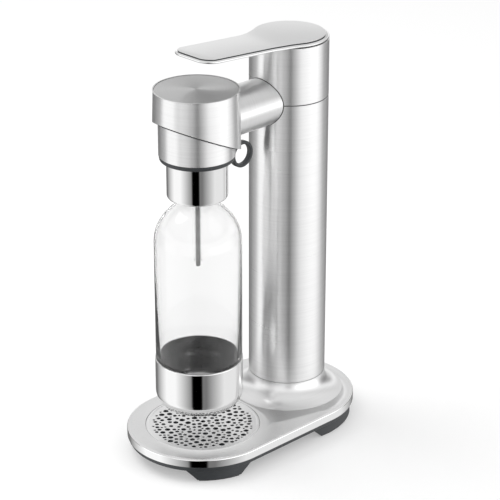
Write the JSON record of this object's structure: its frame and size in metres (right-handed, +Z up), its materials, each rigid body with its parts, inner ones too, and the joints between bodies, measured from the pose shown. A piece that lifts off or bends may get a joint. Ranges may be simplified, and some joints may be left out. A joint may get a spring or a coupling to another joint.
{
  "type": "sparkling water maker",
  "caption": "Column and arm carry a docking head with a capped bottle over a drip tray; a lever on top opens the gas valve.",
  "frame": {"origin": "middle of the base on the table", "axes": "+Z up, -Y front (bottle side), X across"},
  "size_m": [0.155, 0.268, 0.4287],
  "materials": {
    "brushed_steel": "stainless steel brushed round the column and head",
    "brushed_steel_deck": "fine brushed stainless steel deck",
    "grate_steel": "bright satin perforated steel plate",
    "satin_steel": "satin steel lever face, brushed along its length",
    "spun_steel": "steel disc with a spun, circular brushing",
    "polished_steel": "mirror polished steel",
    "screw_steel": "plain bright steel of screws, pins and pipe",
    "dark_plastic": "dark grey fine-grained plastic",
    "rubber": "black rubber",
    "clear_plastic": "clear bottle plastic",
    "brass": "machined brass",
    "cast_alloy": "cast alloy, as cast",
    "cylinder_paint": "plain grey paint"
  },
  "bodies": {
    "base": {"base_deck": "brushed_steel_deck", "base_underbody": "dark_plastic", "foot_pad_front_right": "rubber", "foot_pad_front_left": "rubber", "foot_pad_rear_right": "rubber", "foot_pad_rear_left": "rubber", "deck_screw_front_right": "screw_steel", "deck_screw_front_left": "screw_steel", "deck_screw_rear_right": "screw_steel", "deck_screw_rear_left": "screw_steel", "lower_column": "brushed_steel", "upper_column": "brushed_steel", "column_core": "cast_alloy", "column_top_plate": "dark_plastic", "arm_tube": "brushed_steel", "arm_screw_left": "screw_steel", "arm_screw_right": "screw_steel", "valve_body": "brass", "valve_seal": "rubber", "relief_valve": "brass", "pipe_nut": "brass", "gas_pipe": "screw_steel", "plunger_spring": "screw_steel", "lever_pin": "screw_steel", "head_housing": "brushed_steel", "head_disc": "spun_steel", "docking_block": "dark_plastic", "injector_seal": "rubber"},
    "lever": {"lever_frame": "polished_steel", "lever_top": "satin_steel", "lever_bracket": "cast_alloy"},
    "slider": {"wedge_slider": "cast_alloy"},
    "plunger": {"valve_plunger": "screw_steel"},
    "cylinder": {"co2_cylinder": "cylinder_paint", "cylinder_valve": "brass"},
    "pin": {"valve_pin": "screw_steel"},
    "cover": {"cylinder_cover": "dark_plastic", "cylinder_cushion": "rubber"},
    "tray": {"drip_cup": "dark_plastic"},
    "grate": {"drip_grate": "grate_steel"},
    "cap": {"cap_shell": "brushed_steel", "cap_core": "dark_plastic", "cap_ring": "dark_plastic", "cap_collar": "polished_steel", "inlet_valve": "rubber", "neck_seal": "rubber", "carbonating_tube": "polished_steel", "tube_sleeve": "clear_plastic", "ring_pin": "screw_steel"},
    "release": {"release_ring": "dark_plastic"},
    "poppet": {"vent_poppet": "screw_steel"},
    "bottle_set": {"bottle": "clear_plastic", "bottle_cup": "polished_steel"}
  },
  "joints": [
    {"name": "lever_tilt", "type": "hinge", "parent": "base", "child": "lever", "pos_m": [0, 0.036, 0.41], "axis": [1, 0, 0], "range_deg": [0, 11], "stiffness_Nm_per_rad": 1.5, "springref_deg": -14.32},
    {"name": "slider_push", "type": "slide", "parent": "base", "child": "slider", "axis": [0, 1, 0], "range_m": [0, 0.0028]},
    {"name": "plunger_drop", "type": "slide", "parent": "base", "child": "plunger", "axis": [0, 0, -1], "range_m": [0, 0.002], "stiffness_N_per_m": 400, "springref_m": -0.002, "deforming": ["plunger_spring"]},
    {"name": "cylinder_turn", "type": "hinge", "parent": "base", "child": "cylinder", "pos_m": [0, 0.066, 0.2], "axis": [0, 0, -1], "range_deg": [0, 300]},
    {"name": "pin_drop", "type": "slide", "parent": "cylinder", "child": "pin", "axis": [0, 0, -1], "range_m": [0, 0.002], "stiffness_N_per_m": 100, "springref_m": -0.002},
    {"name": "cover_twist", "type": "hinge", "parent": "base", "child": "cover", "pos_m": [0, 0.066, 0.014], "axis": [0, 0, 1], "range_deg": [0, 90]},
    {"name": "tray_lift", "type": "slide", "parent": "base", "child": "tray", "axis": [0, 0, 1], "range_m": [0, 0.012]},
    {"name": "grate_lift", "type": "slide", "parent": "tray", "child": "grate", "axis": [0, 0, 1], "range_m": [0, 0.006]},
    {"name": "cap_dock", "type": "slide", "parent": "base", "child": "cap", "axis": [0, -1, 0], "range_m": [0, 0.12]},
    {"name": "ring_pull", "type": "hinge", "parent": "cap", "child": "release", "pos_m": [0, -0.0195, 0.3215], "axis": [-1, 0, 0], "range_deg": [0, 20], "stiffness_Nm_per_rad": 0.002, "springref_deg": -17.19},
    {"name": "poppet_lift", "type": "slide", "parent": "cap", "child": "poppet", "axis": [0, 0, 1], "range_m": [0, 0.00575], "stiffness_N_per_m": 20, "springref_m": -0.005},
    {"name": "bottle_turn", "type": "hinge", "parent": "cap", "child": "bottle_set", "pos_m": [0, -0.06, 0.2], "axis": [0, 0, -1], "range_deg": [0, 300]}
  ],
  "couplings": [
    {"joint": "slider_push", "follows": "lever_tilt", "m_per_rad": 0.014},
    {"joint": "plunger_drop", "follows": "lever_tilt", "m_per_rad": 0.0098029},
    {"joint": "pin_drop", "follows": "lever_tilt", "m_per_rad": 0.0098029},
    {"joint": "ring_pull", "follows": "poppet_lift", "rad_per_m": 60.606}
  ]
}
